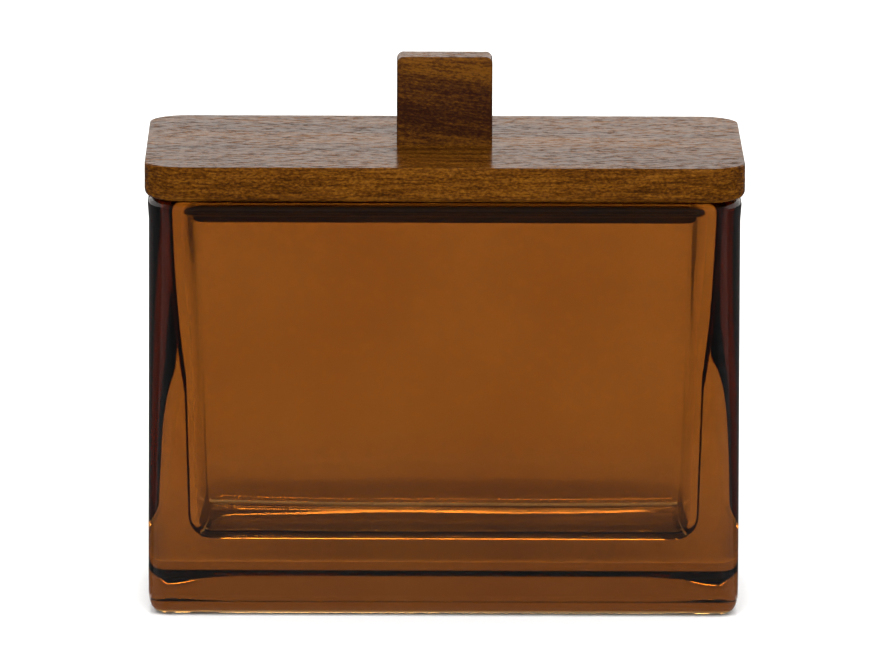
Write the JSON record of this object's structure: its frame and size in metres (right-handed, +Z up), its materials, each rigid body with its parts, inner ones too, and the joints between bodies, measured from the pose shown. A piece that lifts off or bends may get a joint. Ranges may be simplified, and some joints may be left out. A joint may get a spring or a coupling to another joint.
{
  "type": "candle jar with lid",
  "caption": "Rectangular thick-walled amber glass candle jar with a flat wooden lift-off lid that has an upright block handle.",
  "frame": {"origin": "centre of the jar's footprint, on the surface that it stands on", "axes": "+Z up, out of the jar's mouth; +X along the jar's length, to the right in the front view; +Y along its depth, to the back"},
  "size_m": [0.152, 0.082, 0.1384],
  "materials": {
    "amber_glass": "clear pressed glass with a translucent amber coat on the outside",
    "board_wood": "satin lacquered hardwood, grain along the board",
    "plug_wood": "satin lacquered hardwood",
    "silicone": "soft dark brown silicone",
    "handle_wood": "satin lacquered hardwood, grain across the block",
    "screw_steel": "zinc-plated"
  },
  "bodies": {
    "jar": {"glass_jar": "amber_glass"},
    "lid": {"lid_board": "board_wood", "lid_plug": "plug_wood", "lid_seal": "silicone", "lid_handle": "handle_wood", "handle_screw_left": "screw_steel", "handle_screw_right": "screw_steel"}
  },
  "joints": [
    {"name": "lid_lift", "type": "slide", "parent": "jar", "child": "lid", "axis": [0, 0, 1], "range_m": [0, 0.03]}
  ]
}
